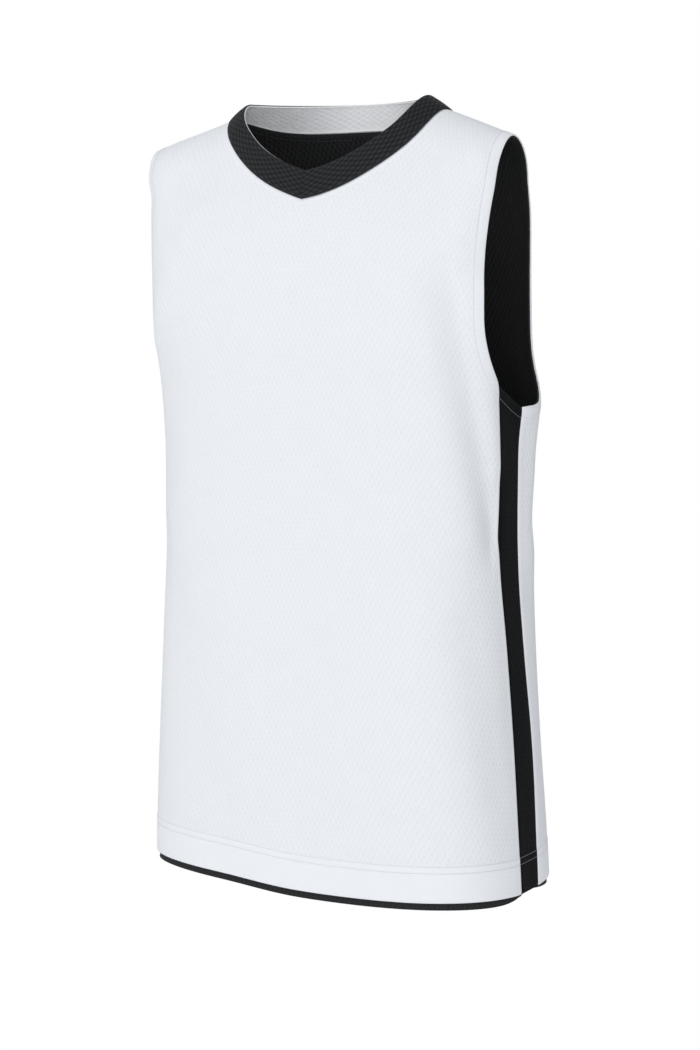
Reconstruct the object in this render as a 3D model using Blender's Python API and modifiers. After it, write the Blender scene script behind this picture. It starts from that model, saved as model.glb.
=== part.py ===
"""Reversible basketball jersey, filled out as if it were worn.

Metres, +Z up. The front faces -Y and the wearer's left side is +X. The origin is the middle of the
shoulder line, where the wearer's shoulders hold the jersey up.

Every panel is cut from one form. A place on the form has two coordinates:
  angle  round the body, in degrees: 0 is the centre front, 90 is the wearer's left side, -90 the right
  fall   down the cloth from the shoulder line, in metres: 0 is on the shoulder line
"""

from collections import namedtuple

import bmesh
import bpy
import numpy as np

CLOTH = 0.0012
SEAM_GAP = 0.0003
LAYER_STEP = 0.0020

# The body form, a row for each height. Depths are measured from the side line, which lies at side_y.
Section = namedtuple("Section", "height half_breadth front_depth back_depth side_y")
SECTIONS = (
    Section(-0.680, 0.1785, 0.086, 0.092, 0.031),
    Section(-0.600, 0.1770, 0.086, 0.091, 0.027),
    Section(-0.520, 0.1725, 0.086, 0.090, 0.0245),
    Section(-0.440, 0.1680, 0.085, 0.090, 0.024),
    Section(-0.360, 0.1655, 0.085, 0.089, 0.025),
    Section(-0.290, 0.1670, 0.085, 0.088, 0.026),
    Section(-0.230, 0.1700, 0.084, 0.082, 0.023),
    Section(-0.170, 0.1750, 0.079, 0.074, 0.015),
    Section(-0.110, 0.1785, 0.070, 0.072, 0.013),
    Section(-0.050, 0.1830, 0.057, 0.080, 0.012),
    Section(0.040, 0.1870, 0.048, 0.085, 0.014),
)
SQUARENESS = 3.2

# The largest folds: soft ridges, or troughs where the rise is negative, from a start to an end. Their angles
# are positive on the wearer's left. A degree round the body is about DEGREE_ARC of cloth.
Fold = namedtuple("Fold", "start_angle start_height end_angle end_height half_width rise")
FOLDS = (
    Fold(100, -0.236, 122, -0.232, 0.026, 0.0060),
    Fold(-100, -0.236, -122, -0.232, 0.026, 0.0050),
    Fold(44, -0.130, 62, -0.270, 0.018, -0.0045),
    Fold(60, -0.265, 74, -0.330, 0.016, -0.0030),
    Fold(-46, -0.140, -60, -0.280, 0.020, -0.0030),
    Fold(132, -0.200, 118, -0.330, 0.022, -0.0040),
    Fold(-134, -0.190, -118, -0.350, 0.024, -0.0045),
)
DEGREE_ARC = 0.0026

# The shoulder line slopes from the neck point to the shoulder tip, and the cloth arches over it.
NECK_HALF_WIDTH = 0.107
NECK_POINT_HEIGHT = 0.0115
SHOULDER_TIP_X = 0.180
SHOULDER_TIP_HEIGHT = -0.014
SHOULDER_SLOPE = (NECK_POINT_HEIGHT - SHOULDER_TIP_HEIGHT) / (SHOULDER_TIP_X - NECK_HALF_WIDTH)
ARCH_SHARE = 0.48
ARCH_SHARE_AT_TIP = 0.70
ARCH_DROP = 0.034
FULL_DROP = 0.110
CREST = 0.012
TIP_FORWARD = 0.012

# The neck seam, and the band that stands up from it.
V_TIP_HEIGHT = -0.064
BACK_NECK_HEIGHT = 0.001
BACK_NECK_CURVE = 6
BAND_TIP_HEIGHT = -0.040
BAND_HALF_WIDTH = 0.090
BAND_TOP_HEIGHT = 0.0235
BAND_LEAN_TIP = 0.006
BAND_LEAN_BACK = 0.003
BAND_BACK_CURVE = 1.5

# The V's arms, left and right: the straight, the bent and the late part of an arm's rise to the neck point.
NeckArm = namedtuple("NeckArm", "straight bent late_power")
NECK_ARMS = {1: NeckArm(0.17, 0.60, 20), -1: NeckArm(0.45, 0.12, 3)}

# The armhole edge, a row for each height below the shoulder tip.
ArmholeRow = namedtuple("ArmholeRow", "height front_angle back_angle")
ARMHOLE = (
    ArmholeRow(-0.050, 62.5, 124.0),
    ArmholeRow(-0.087, 61.0, 119.0),
    ArmholeRow(-0.120, 60.3, 115.5),
    ArmholeRow(-0.153, 60.3, 114.5),
    ArmholeRow(-0.186, 62.0, 114.0),
    ArmholeRow(-0.208, 66.0, 114.5),
)
ARMHOLE_FRONT_HEIGHT = -0.223
ARMHOLE_BACK_HEIGHT = -0.241
ARMHOLE_BACK_CORNER = ArmholeRow(-0.233, None, 112.0)

# The side insert's two seams, a row for each height.
InsertRow = namedtuple("InsertRow", "height front_angle back_angle")
INSERT = (
    InsertRow(-0.680, 83.0, 103.0),
    InsertRow(-0.600, 83.0, 102.5),
    InsertRow(-0.530, 84.5, 103.5),
    InsertRow(-0.450, 82.5, 100.0),
    InsertRow(-0.370, 76.5, 96.0),
    InsertRow(-0.300, 74.5, 94.0),
    InsertRow(-0.220, 71.5, 92.5),
)

# The hem's height round the body, where the wearer's left is positive: it hangs lowest at the left front.
HemRow = namedtuple("HemRow", "angle height")
HEM = (
    HemRow(-180, -0.630),
    HemRow(-130, -0.624),
    HemRow(-90, -0.622),
    HemRow(-55, -0.628),
    HemRow(-25, -0.639),
    HemRow(0, -0.650),
    HemRow(30, -0.655),
    HemRow(60, -0.653),
    HemRow(90, -0.649),
    HemRow(130, -0.637),
    HemRow(180, -0.630),
)
HEM_LEVEL = -0.640
INNER_HEM_DROP = 0.006

# Divisions: rows up the side seam, rows up the armhole, and the rows among these that end on the neck seam.
SEAM_ROWS = 11
ARMHOLE_ROWS = 11
FRONT_NECK_ROWS = 7
BACK_NECK_ROWS = 5
COLUMNS = 10
EDGE_CROWDING = 1.5
INSERT_COLUMNS = 4
BAND_COLUMNS = 2
CREST_ROW = 0.0010

# Small steps for measuring the form: along the cloth and in height, round the body, and points that are one.
PROBE = 0.0003
PROBE_ANGLE = 0.5
SEWN_WITHIN = 0.00001
HEIGHT_PASSES = 6

WHITE = (0.84, 0.86, 0.89)
BLACK = (0.012, 0.013, 0.014)
CLOTH_ROUGHNESS = 0.8


def smooth_interp(place, places, values):
    """A curve through the table's values, without kinks."""
    places = np.asarray(places, float)
    values = np.asarray(values, float)
    slopes = np.gradient(values, places)
    index = np.clip(np.searchsorted(places, place) - 1, 0, len(places) - 2)
    step = places[index + 1] - places[index]
    t = (place - places[index]) / step
    start = (1 + 2 * t) * (1 - t) ** 2 * values[index] + t * (1 - t) ** 2 * step * slopes[index]
    end = t * t * (3 - 2 * t) * values[index + 1] + t * t * (t - 1) * step * slopes[index + 1]
    return start + end


def section_value(name, height):
    heights = [row.height for row in SECTIONS]
    limited = np.clip(height, heights[0], heights[-1])
    return smooth_interp(limited, heights, [getattr(row, name) for row in SECTIONS])


def shoulder_height(x):
    """The shoulder line's height. Inside the neck it levels off, as a guide for the cloth beside it."""
    x = np.abs(x)
    outside = NECK_POINT_HEIGHT - SHOULDER_SLOPE * (x - NECK_HALF_WIDTH)
    inside = NECK_POINT_HEIGHT + SHOULDER_SLOPE * (NECK_HALF_WIDTH**2 - x**2) / (2 * NECK_HALF_WIDTH)
    return np.where(x < NECK_HALF_WIDTH, inside, outside)


def drop_of_fall(fall):
    return fall**2 / (np.abs(fall) + 2 * CREST)


def fall_of_drop(drop):
    return (drop + np.sqrt(drop**2 + 8 * CREST * drop)) / 2


def near_tip(x):
    """0 from the centre out to the neck point, rising smoothly to 1 at the shoulder tip."""
    share = np.clip((np.abs(x) - NECK_HALF_WIDTH) / (SHOULDER_TIP_X - NECK_HALF_WIDTH), 0, 1)
    return share * share * (3 - 2 * share)


def shoulder_fullness(x, drop):
    """How much of the body's depth the cloth has at a drop below the shoulder line, from 0 to 1."""
    arch_share = ARCH_SHARE + (ARCH_SHARE_AT_TIP - ARCH_SHARE) * near_tip(x)
    arch = 1 - np.clip(drop / ARCH_DROP, 0, 1)
    spread = np.clip(drop / FULL_DROP, 0, 1) * np.pi / 2
    return arch_share * np.sqrt(1 - arch**2) + (1 - arch_share) * np.sin(spread)


def tip_forward(x, drop):
    """How far the shoulder line comes forward towards its tip. It dies out down the body."""
    return TIP_FORWARD * near_tip(x) * np.exp(-((drop / FULL_DROP) ** 2))


def unit_section(angle):
    """Across and forward parts of the section of half breadth 1 and depth 1 at an angle."""
    across = np.sin(np.radians(angle))
    forward = np.cos(np.radians(angle))
    radius = (np.abs(across) ** SQUARENESS + np.abs(forward) ** SQUARENESS) ** (-1 / SQUARENESS)
    return across * radius, forward * radius


def fold_rise(angle, height):
    """How far the folds lift the cloth off the form at an angle and a height."""
    rise = np.zeros(np.broadcast(angle, height).shape)
    for fold in FOLDS:
        turn = (fold.end_angle - fold.start_angle) * DEGREE_ARC
        run = np.array([turn, fold.end_height - fold.start_height])
        across = (angle - fold.start_angle) * DEGREE_ARC
        down = height - fold.start_height
        share = np.clip((across * run[0] + down * run[1]) / (run @ run), 0, 1)
        distance = np.hypot(across - share * run[0], down - share * run[1])
        rise = rise + fold.rise * np.exp(-((distance / fold.half_width) ** 2))
    return rise


def form_point(angle, fall):
    """The point of the cloth's outer face at an angle and a fall."""
    drop = drop_of_fall(fall)
    across, forward = unit_section(angle)
    height = NECK_POINT_HEIGHT - drop
    for _ in range(HEIGHT_PASSES):
        x = section_value("half_breadth", height) * across
        height = shoulder_height(x) - drop
    depth = np.where(forward > 0, section_value("front_depth", height), section_value("back_depth", height))
    y = section_value("side_y", height) - tip_forward(x, drop) - depth * forward * shoulder_fullness(x, drop)
    rise = fold_rise(angle, height)
    outward = np.radians(angle)
    return np.stack([x + rise * np.sin(outward), y - rise * np.cos(outward), height], axis=-1)


def form_normal(angle, fall):
    """The outward direction of the form."""
    fall = np.maximum(fall, 1.5 * PROBE)
    round_step = form_point(angle + PROBE_ANGLE, fall) - form_point(angle - PROBE_ANGLE, fall)
    down_step = form_point(angle, fall + PROBE) - form_point(angle, fall - PROBE)
    normal = np.cross(down_step, round_step)
    return normal / np.linalg.norm(normal, axis=-1, keepdims=True)


def place_at(angle, height):
    """(angle, fall) of the place at an angle and a height."""
    x = section_value("half_breadth", height) * unit_section(angle)[0]
    return np.array([angle, fall_of_drop(np.maximum(shoulder_height(x) - height, 0))])


def place_across(x, height, back):
    """(angle, fall) of the place at x and a height, on the front or the back."""
    across = x / section_value("half_breadth", height)
    forward = (1 - across**SQUARENESS) ** (1 / SQUARENESS)
    angle = np.degrees(np.arctan2(across, forward))
    return place_at(180 - angle if back else angle, height)


def beside_crest(place, distance):
    """The place moved down the cloth to a distance from the shoulder line, if it is nearer than that."""
    angle, fall = place
    reach = np.linalg.norm(form_point(angle, PROBE) - form_point(angle, 0.0)) / PROBE
    return np.array([angle, max(fall, distance / reach)])


def smooth_path(rows, t):
    """The place at t, from 0 to 1, along a smooth path through places."""
    points = np.array([form_point(*row) for row in rows])
    lengths = np.linalg.norm(np.diff(points, axis=0), axis=1)
    shares = np.concatenate([[0], np.cumsum(lengths)]) / lengths.sum()
    return np.array([smooth_interp(t, shares, values) for values in np.transpose(rows)])


def hem_height(angle, inner):
    height = smooth_interp(angle, [row.angle for row in HEM], [row.height for row in HEM])
    return height - INNER_HEM_DROP * inner


def insert_angle(height, back):
    heights = [row.height for row in INSERT]
    return smooth_interp(height, heights, [row[2 if back else 1] for row in INSERT])


def v_rise(side, share):
    """How far an arm of the V has risen, from 0 at its tip to 1 at the neck point, at a share of its half width."""
    arm = NECK_ARMS[side]
    late = 1 - arm.straight - arm.bent
    return arm.straight * share + arm.bent * share**2 + late * share**arm.late_power


def neck_seam(t, side, back):
    """The place on a side's neck seam at t, from the centre at 0 to the neck point at 1."""
    x = NECK_HALF_WIDTH * np.sin(t * np.pi / 2)
    share = x / NECK_HALF_WIDTH
    if back:
        height = BACK_NECK_HEIGHT + (NECK_POINT_HEIGHT - BACK_NECK_HEIGHT) * share**BACK_NECK_CURVE
    else:
        height = V_TIP_HEIGHT + (NECK_POINT_HEIGHT - V_TIP_HEIGHT) * v_rise(side, share)
    return beside_crest(place_across(x, height, back), SEAM_GAP / 2)


def armhole_path(back):
    """The places up the armhole edge, from the side seam's top to the shoulder tip."""
    if back:
        foot = [
            place_at(insert_angle(ARMHOLE_BACK_HEIGHT, True), ARMHOLE_BACK_HEIGHT),
            place_at(ARMHOLE_BACK_CORNER.back_angle, ARMHOLE_BACK_CORNER.height),
        ]
    else:
        foot = [place_at(insert_angle(ARMHOLE_FRONT_HEIGHT, False), ARMHOLE_FRONT_HEIGHT)]
    edge = [place_at(row[2 if back else 1], row.height) for row in reversed(ARMHOLE)]
    tip = beside_crest(place_across(SHOULDER_TIP_X, SHOULDER_TIP_HEIGHT, back), SEAM_GAP / 2)
    return [*foot, *edge, tip]


def side_seam(t, side, back, inner):
    """The place on a panel's side seam at t, from the hem at 0 to the armhole at 1."""
    top = ARMHOLE_BACK_HEIGHT if back else ARMHOLE_FRONT_HEIGHT
    low = hem_height(side * insert_angle(HEM_LEVEL, back), inner)
    height = low + (top - low) * t
    return place_at(insert_angle(height, back), height)


def centre_and_neck(row, side, back, inner):
    """The place where a row of a panel starts: up the centre line, then along the neck seam."""
    neck_rows = BACK_NECK_ROWS if back else FRONT_NECK_ROWS
    neck_row = SEAM_ROWS + ARMHOLE_ROWS - neck_rows
    if row > neck_row:
        return neck_seam((row - neck_row) / neck_rows, side, back)
    centre = 180 if back else 0
    level = ARMHOLE_BACK_HEIGHT if back else ARMHOLE_FRONT_HEIGHT
    heights = (hem_height(side * centre, inner), level, form_point(*neck_seam(0, side, back))[2])
    return place_at(centre, np.interp(row, (0, SEAM_ROWS, neck_row), heights))


def seam_and_armhole(row, side, back, inner):
    """The place where a row of a panel ends: up the side seam, then round the armhole."""
    if row > SEAM_ROWS:
        return smooth_path(armhole_path(back), (row - SEAM_ROWS) / ARMHOLE_ROWS)
    return side_seam(row / SEAM_ROWS, side, back, inner)


def panel_places(side, back, inner):
    """Places of one half of a panel, as a grid of rows from the hem to the shoulder seam."""
    columns = 1 - np.linspace(1, 0, COLUMNS + 1)[:, None] ** EDGE_CROWDING
    grid = []
    for row in range(SEAM_ROWS + ARMHOLE_ROWS + 1):
        start = centre_and_neck(row, side, back, inner)
        grid.append(start + (seam_and_armhole(row, side, back, inner) - start) * columns)
    grid[0] = [place_at(angle, hem_height(side * angle, inner)) for angle, _ in grid[0]]
    crest = [beside_crest(place, CREST_ROW) for place in grid[-1]]
    return np.array([*grid[:-1], crest, grid[-1]])


def between_seams(side, inner, first, last, first_gap, last_gap):
    """Places between the front side seam, share 0, and the back one, share 1, from one share to another.

    The gaps are left free beyond each end, in metres.
    """
    columns = round(INSERT_COLUMNS * (last - first))
    grid = []
    for row in range(SEAM_ROWS + 1):
        front = side_seam(row / SEAM_ROWS, side, False, inner)
        back = side_seam(row / SEAM_ROWS, side, True, inner)
        width = np.linalg.norm(form_point(*back) - form_point(*front))
        shares = np.linspace(first + first_gap / width, last - last_gap / width, columns + 1)
        grid.append(front + (back - front) * shares[:, None])
    return np.array(grid)


def points_of(places, side, depth):
    """The places' points, moved inward by a depth, on the wearer's left (side 1) or right (side -1)."""
    angle = side * places[..., 0]
    fall = places[..., 1]
    return form_point(angle, fall) - form_normal(angle, fall) * depth


def band_edge(t, side, back):
    """The point on the neck band's free edge, beside the neck seam's place at t."""
    x = BAND_HALF_WIDTH * np.sin(t * np.pi / 2)
    share = x / BAND_HALF_WIDTH
    seam = form_point(*neck_seam(t, side, back))
    if back:
        end = form_point(*neck_seam(1, side, True))[1]
        middle = form_point(*neck_seam(0, side, True))[1] - BAND_LEAN_BACK
        return np.array([x, end + (middle - end) * np.cos(t * np.pi / 2) ** BAND_BACK_CURVE, BAND_TOP_HEIGHT])
    height = BAND_TIP_HEIGHT + (BAND_TOP_HEIGHT - BAND_TIP_HEIGHT) * v_rise(side, share)
    return np.array([x, seam[1] + BAND_LEAN_TIP * (1 - t), height])


def band_points(side, depth):
    """Points of half the neck band: across it at each step from the V tip round to the centre back."""
    steps = [(row / FRONT_NECK_ROWS, False) for row in range(FRONT_NECK_ROWS + 1)]
    steps += [(row / BACK_NECK_ROWS, True) for row in reversed(range(BACK_NECK_ROWS))]
    shares = np.linspace(0, 1, BAND_COLUMNS + 1)[:, None]
    rows = []
    for t, back in steps:
        seam = form_point(*neck_seam(t, side, back))
        across = band_edge(t, side, back) - seam
        start = seam + across * SEAM_GAP / np.linalg.norm(across)
        rows.append(start + (seam + across - start) * shares)
    points = np.array(rows)
    normals = np.cross(np.gradient(points, axis=0), np.gradient(points, axis=1))
    normals[[0, -1], :, 0] = 0
    normals /= np.linalg.norm(normals, axis=-1, keepdims=True)
    return (points - normals * depth) * (side, 1, 1)


def add_grid(mesh, points, flip):
    verts = [[mesh.verts.new(point) for point in row] for row in points]
    for low, high in zip(verts, verts[1:]):
        for j in range(len(low) - 1):
            corners = [low[j + 1], high[j + 1], high[j]]
            mesh.faces.new([low[j], *(corners[::-1] if flip else corners)])


def add_cloth(name, grids, color):
    """A piece of cloth: its outer face from grids of points, sewn where they meet, and a wall behind it."""
    mesh = bmesh.new()
    for points, flip in grids:
        add_grid(mesh, points, flip)
    bmesh.ops.remove_doubles(mesh, verts=mesh.verts, dist=SEWN_WITHIN)
    bmesh.ops.triangulate(mesh, faces=mesh.faces, quad_method="FIXED")
    data = bpy.data.meshes.new(name)
    mesh.to_mesh(data)
    mesh.free()
    data.shade_smooth()
    piece = bpy.data.objects.new(name, data)
    collection.objects.link(piece)
    wall = piece.modifiers.new("cloth wall", "SOLIDIFY")
    wall.thickness = CLOTH
    wall.offset = -1
    material = bpy.data.materials.new(name)
    material.use_nodes = True
    shader = material.node_tree.nodes["Principled BSDF"]
    shader.inputs["Base Color"].default_value = (*color, 1)
    shader.inputs["Roughness"].default_value = CLOTH_ROUGHNESS
    data.materials.append(material)


def add_panel(name, back, inner, color):
    """A front or back panel. The inner layer's panels also run half way behind the side inserts."""
    depth = LAYER_STEP * inner
    behind_insert = (0.5, 1, SEAM_GAP / 2, 0) if back else (0, 0.5, 0, SEAM_GAP / 2)
    grids = []
    for side in (1, -1):
        flip = (side < 0) != back
        grids.append((points_of(panel_places(side, back, inner), side, depth), flip))
        if inner:
            places = between_seams(side, inner, *behind_insert)
            grids.append((points_of(places, side, depth), side < 0))
    add_cloth(name, grids, color)


for old in list(bpy.data.objects):
    bpy.data.objects.remove(old, do_unlink=True)
collection = bpy.data.collections.new("basketball_jersey")
bpy.context.scene.collection.children.link(collection)
add_panel("front_outer", False, False, WHITE)
add_panel("back_outer", True, False, WHITE)
add_panel("front_inner", False, True, BLACK)
add_panel("back_inner", True, True, BLACK)
for name, side in (("side_insert_left", 1), ("side_insert_right", -1)):
    places = between_seams(side, False, 0, 1, SEAM_GAP, SEAM_GAP)
    add_cloth(name, [(points_of(places, side, 0), side < 0)], BLACK)
add_cloth("collar_outer", [(band_points(1, 0), False), (band_points(-1, 0), True)], BLACK)
band_step = CLOTH + SEAM_GAP
add_cloth("collar_inner", [(band_points(1, band_step), False), (band_points(-1, band_step), True)], WHITE)
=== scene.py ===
"""Looks of the reversible basketball jersey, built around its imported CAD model.

Metres, +Z up. The front faces -Y and the wearer's left side is +X. Every sheet of cloth is cut from one form,
the same as the CAD's. A place on it has two coordinates:
  arc   round the body from the centre front, in metres: ARC_BACK is the centre back
  fall  down the cloth from the shoulder line, in metres
A side of 1 is the wearer's left half and -1 the right half.
"""

import math
from collections import namedtuple

import bmesh
import bpy
import numpy as np
from mathutils import Matrix


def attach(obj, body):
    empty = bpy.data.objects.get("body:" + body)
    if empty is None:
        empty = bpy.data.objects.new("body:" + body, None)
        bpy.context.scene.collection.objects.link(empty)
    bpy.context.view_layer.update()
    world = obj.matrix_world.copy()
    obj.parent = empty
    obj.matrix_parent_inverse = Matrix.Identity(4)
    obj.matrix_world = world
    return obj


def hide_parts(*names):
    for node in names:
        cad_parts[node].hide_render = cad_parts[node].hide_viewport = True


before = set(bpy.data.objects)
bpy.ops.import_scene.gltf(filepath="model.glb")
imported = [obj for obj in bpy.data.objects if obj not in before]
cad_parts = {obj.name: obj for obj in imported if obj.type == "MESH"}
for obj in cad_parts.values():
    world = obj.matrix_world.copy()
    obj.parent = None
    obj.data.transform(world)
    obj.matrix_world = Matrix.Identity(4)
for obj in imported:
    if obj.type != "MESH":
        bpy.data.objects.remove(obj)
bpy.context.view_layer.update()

# The cloth's thickness, and how deep the reverse side's face lies: less at the armholes' edges.
WALL = 0.0011
INNER_DEPTH = 0.0020
INNER_DEPTH_AT_EDGE = 0.0013
INNER_APART_FROM = 0.015

# The body form, a row for each height. Depths are measured from the side line, which lies at side_y.
Section = namedtuple("Section", "height half_breadth front_depth back_depth side_y")
SECTIONS = [Section(*row) for row in (
    (-0.680, 0.1785, 0.086, 0.092, 0.031),
    (-0.600, 0.1770, 0.086, 0.091, 0.027),
    (-0.520, 0.1725, 0.086, 0.090, 0.0245),
    (-0.440, 0.1680, 0.085, 0.090, 0.024),
    (-0.360, 0.1655, 0.085, 0.089, 0.025),
    (-0.290, 0.1670, 0.085, 0.088, 0.026),
    (-0.230, 0.1700, 0.084, 0.082, 0.023),
    (-0.170, 0.1750, 0.079, 0.074, 0.015),
    (-0.110, 0.1785, 0.070, 0.072, 0.013),
    (-0.050, 0.1830, 0.057, 0.080, 0.012),
    (0.040, 0.1870, 0.048, 0.085, 0.014),
)]
SQUARENESS = 3.2
REFERENCE = Section(None, 0.170, 0.0845, 0.088, 0.0)

# The shoulder line slopes from the neck point to the shoulder tip, and the cloth arches over it.
NECK_HALF_WIDTH = 0.107
NECK_POINT_HEIGHT = 0.0115
SHOULDER_TIP_X = 0.180
SHOULDER_TIP_HEIGHT = -0.014
SHOULDER_SLOPE = (NECK_POINT_HEIGHT - SHOULDER_TIP_HEIGHT) / (SHOULDER_TIP_X - NECK_HALF_WIDTH)
ARCH_SHARE = 0.48
ARCH_SHARE_AT_TIP = 0.70
ARCH_DROP = 0.034
FULL_DROP = 0.110
CREST = 0.012
TIP_FORWARD = 0.012
HEIGHT_PASSES = 6

# The neck seam, and the band that stands up from it.
V_TIP_HEIGHT = -0.064
BACK_NECK_HEIGHT = 0.001
BACK_NECK_CURVE = 6
BAND_TIP_HEIGHT = -0.040
BAND_HALF_WIDTH = 0.090
BAND_TOP_HEIGHT = 0.0235
BAND_LEAN_TIP = 0.006
BAND_LEAN_BACK = 0.003
BAND_BACK_CURVE = 1.5

# The V's arms, left and right: the straight, the bent and the late part of an arm's rise to the neck point.
NeckArm = namedtuple("NeckArm", "straight bent late_power")
NECK_ARMS = {1: NeckArm(0.17, 0.60, 20), -1: NeckArm(0.45, 0.12, 3)}

# Edges of the cloth at a side: the armhole's, and the side seams with the insert between them.
AngleRow = namedtuple("AngleRow", "height front_angle back_angle")
ARMHOLE = [AngleRow(*row) for row in (
    (-0.050, 62.5, 124.0),
    (-0.087, 61.0, 119.0),
    (-0.120, 60.3, 115.5),
    (-0.153, 60.3, 114.5),
    (-0.186, 62.0, 114.0),
    (-0.208, 66.0, 114.5),
)]
ARMHOLE_FRONT_HEIGHT = -0.223
ARMHOLE_BACK_HEIGHT = -0.241
ARMHOLE_BACK_CORNER = AngleRow(-0.233, None, 112.0)

INSERT = [AngleRow(*row) for row in (
    (-0.680, 83.0, 103.0),
    (-0.600, 83.0, 102.5),
    (-0.530, 84.5, 103.5),
    (-0.450, 82.5, 100.0),
    (-0.370, 76.5, 96.0),
    (-0.300, 74.5, 94.0),
    (-0.220, 71.5, 92.5),
)]

# The hem's (angle, height) round the body, the wearer's left positive: it hangs lowest at the left front.
HEM = (
    (-180, -0.630), (-130, -0.624), (-90, -0.622), (-55, -0.628), (-25, -0.639), (0, -0.650),
    (30, -0.655), (60, -0.653), (90, -0.649), (130, -0.637), (180, -0.630),
)
HEM_LEVEL = -0.640
BELOW_HEM = -0.665

# The reverse side's hem hangs lower than the outer one, but not beside the inserts: (angle, half width) there.
INNER_HEM_DROP = 0.006
INNER_HEM_SIDE = (93, 16)

# Creases: each is a soft ridge, or a trough where the rise is negative, along a path of (angle, height)
# points. It is steeper on the side with the smaller half width: the first lies ahead, towards more angle.
Crease = namedtuple("Crease", "path ahead behind rise")
CREASES = [Crease(*row) for row in (
    # The CAD's largest folds.
    (((100, -0.236), (122, -0.232)), 0.026, 0.026, 0.0060),
    (((-100, -0.236), (-122, -0.232)), 0.026, 0.026, 0.0050),
    (((132, -0.200), (118, -0.330)), 0.022, 0.022, -0.0040),
    (((-134, -0.190), (-118, -0.350)), 0.024, 0.024, -0.0045),
    # Left front: the long fold from the armhole down to the insert's seam, the ridge before it, the puff behind.
    (((47, -0.140), (52, -0.200), (59, -0.262), (66, -0.312), (71, -0.350)), 0.012, 0.020, -0.0049),
    (((36, -0.150), (42, -0.215), (49, -0.290), (56, -0.350)), 0.020, 0.026, 0.0024),
    (((63, -0.150), (66, -0.215), (71, -0.290)), 0.012, 0.016, 0.0024),
    # Right front: the hollow inside the armhole's edge, and the ridge from the shoulder.
    (((-62, -0.060), (-66, -0.150), (-70, -0.260)), 0.030, 0.024, -0.0042),
    (((-67, -0.170), (-73, -0.262)), 0.022, 0.020, -0.0030),
    (((-34, -0.070), (-42, -0.120), (-52, -0.180)), 0.012, 0.014, 0.0018),
    (((-46, -0.200), (-50, -0.300)), 0.018, 0.020, -0.0014),
    (((-52, -0.360), (-40, -0.440), (-34, -0.540)), 0.022, 0.026, -0.0018),
    (((-18, -0.420), (-14, -0.560)), 0.030, 0.030, 0.0014),
    # Short soft creases at the right shoulder, and one at the left.
    (((-48, -0.034), (-60, -0.042)), 0.008, 0.010, 0.0008),
    (((-44, -0.050), (-58, -0.056)), 0.008, 0.009, -0.0008),
    (((50, -0.030), (60, -0.060)), 0.010, 0.012, 0.0008),
    # Lower front left.
    (((40, -0.420), (34, -0.560), (36, -0.640)), 0.030, 0.024, 0.0016),
    (((58, -0.430), (66, -0.560)), 0.024, 0.022, -0.0018),
    # Left back, beside the insert: it fills out below the armhole.
    (((108, -0.270), (108, -0.360)), 0.026, 0.020, 0.0034),
    # The back: a long shallow fold from each armhole, and a hollow between the shoulder blades.
    (((142, -0.150), (150, -0.260), (160, -0.420)), 0.026, 0.030, 0.0022),
    (((-138, -0.140), (-148, -0.280), (-152, -0.460)), 0.028, 0.026, 0.0024),
    (((178, -0.090), (176, -0.230)), 0.034, 0.034, -0.0022),
    (((164, -0.420), (170, -0.600)), 0.030, 0.026, -0.0018),
    (((-128, -0.430), (-134, -0.590)), 0.028, 0.024, 0.0020),
)]
DEGREE_ARC = 0.0026
CREASE_BLEND = 0.004

# Slow undulations of the hanging cloth: waves round the body that grow towards the hem.
Wave = namedtuple("Wave", "turns phase lean height start full")
WAVES = [Wave(*row) for row in (
    (5.0, 0.6, 6.0, 0.0011, -0.30, -0.62),
    (8.0, 2.1, -10.0, 0.0006, -0.36, -0.64),
    (13.0, 4.0, 12.0, 0.0003, -0.25, -0.60),
)]

# The turned-up hem and the turned edge of each armhole. A step runs from where the cloth is doubled to where it
# is single.
HEM_WIDTH = 0.031
HEM_STEP = (HEM_WIDTH - 0.0006, HEM_WIDTH + 0.0008)
HEM_STITCH_ROWS = (0.0250, 0.0305)
EDGE_WIDTH = 0.0095
EDGE_STEP = (EDGE_WIDTH - 0.0004, EDGE_WIDTH + 0.0006)
EDGE_STITCH_ROW = 0.0088
TURNED_LIFT = 0.00035

# Dips along stitch rows, seams and rounded edges, each with its half width. The band's edges differ a little.
STITCH_DIP = 0.00015
STITCH_DIP_WIDTH = 0.0008
SEAM_DIP = 0.0006
SEAM_DIP_WIDTH = 0.0010
ROUND_DIP = 0.0004
ROUND_DIP_WIDTH = 0.0006

# The grid: distances of its rows from the hem and of its columns from a cut edge, and its counts elsewhere.
HEM_STEPS = (0, 0.0006, 0.002, 0.006, 0.011, 0.017, 0.0225, 0.0243, 0.025, 0.0257, 0.0278, 0.0298, 0.0305, 0.0312,
             0.0328, 0.036)
EDGE_STEPS = (0, 0.0005, 0.0014, 0.003, 0.0055, 0.0078, 0.0088, 0.0098, 0.0125, 0.0165)
NECK_STEPS = (0, 0.0005, 0.0014, 0.003, 0.006)
LOW_ROWS = 96
BELOW_ARMHOLE = len(HEM_STEPS) + LOW_ROWS
ARM_ROWS = 60
FRONT_NECK_ROWS = 26
BACK_NECK_ROWS = 20
MIDDLE_COLUMNS = 44
INSERT_COLUMNS = 12
INSERT_EDGE_STEP = 0.0006
CREST_STEPS = (0.0016, 0.0006)
CENTRE_WITHIN = 0.0015
SEAM_GAP = 0.0001
SEWN_WITHIN = 0.00012

# Steps that find the form's direction, points along a traced edge, and what stands for out of reach.
PROBE = 0.0003
PROBE_ARC = 0.0012
ARMHOLE_POINTS = 500
INSERT_TOP_POINTS = 60
SEAM_POINTS = 900
NECK_POINTS = 400
HEM_POINTS = 160
SHOULDER_REACH = 1.4
FAR = 1.0

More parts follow.
